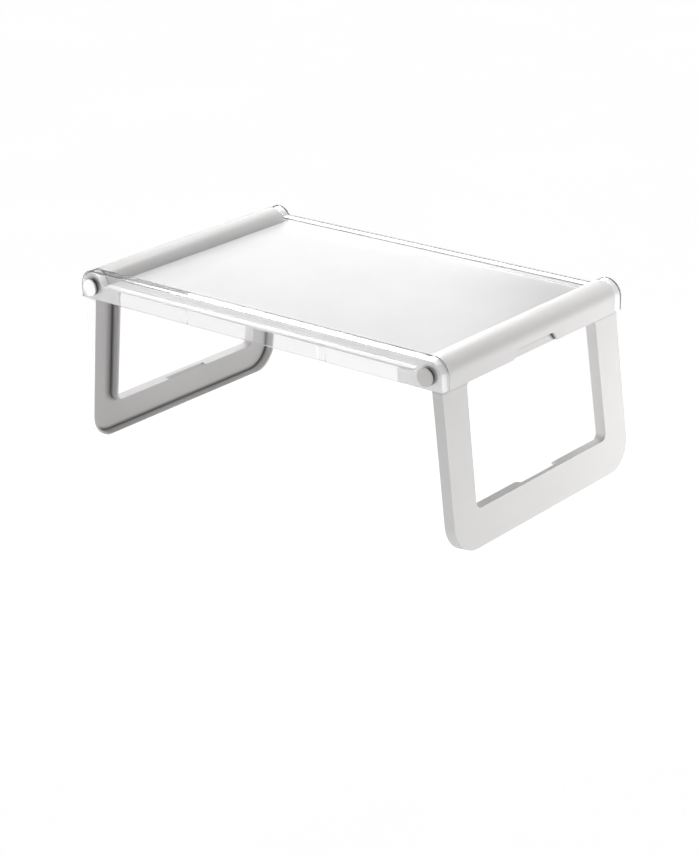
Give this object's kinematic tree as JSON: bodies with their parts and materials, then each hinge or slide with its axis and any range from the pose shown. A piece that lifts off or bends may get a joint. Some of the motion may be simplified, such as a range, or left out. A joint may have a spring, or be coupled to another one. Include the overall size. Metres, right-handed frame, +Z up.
{
  "type": "folding tray table",
  "caption": "Low bed tray: white floor between rounded end covers and clear long sides, on two frame legs that fold flat underneath.",
  "frame": {"origin": "on the ground under the middle of the tray, with the legs open", "axes": "+X along the tray's length, +Y across it from the high clear side to the low clear side, +Z up"},
  "size_m": [0.5818, 0.3476, 0.2256],
  "materials": {
    "floor": "gloss",
    "cover": "satin",
    "clear": "clear polished",
    "leg": "satin",
    "pin": "satin",
    "washer": "matt"
  },
  "bodies": {
    "tray": {"floor_panel": "floor", "right_end_cover": "cover", "left_end_cover": "cover", "near_wall": "clear", "far_wall": "clear"},
    "right_leg_frame": {"right_leg": "leg", "right_near_pin": "pin", "right_far_pin": "pin", "right_near_washer": "washer", "right_far_washer": "washer"},
    "left_leg_frame": {"left_leg": "leg", "left_near_pin": "pin", "left_far_pin": "pin", "left_near_washer": "washer", "left_far_washer": "washer"}
  },
  "joints": [
    {"name": "right_leg_fold", "type": "hinge", "parent": "tray", "child": "right_leg_frame", "pos_m": [0.2554, 0, 0.206], "axis": [0, 1, 0], "range_deg": [0, 96]},
    {"name": "left_leg_fold", "type": "hinge", "parent": "tray", "child": "left_leg_frame", "pos_m": [-0.2554, 0, 0.206], "axis": [0, -1, 0], "range_deg": [0, 96]}
  ]
}
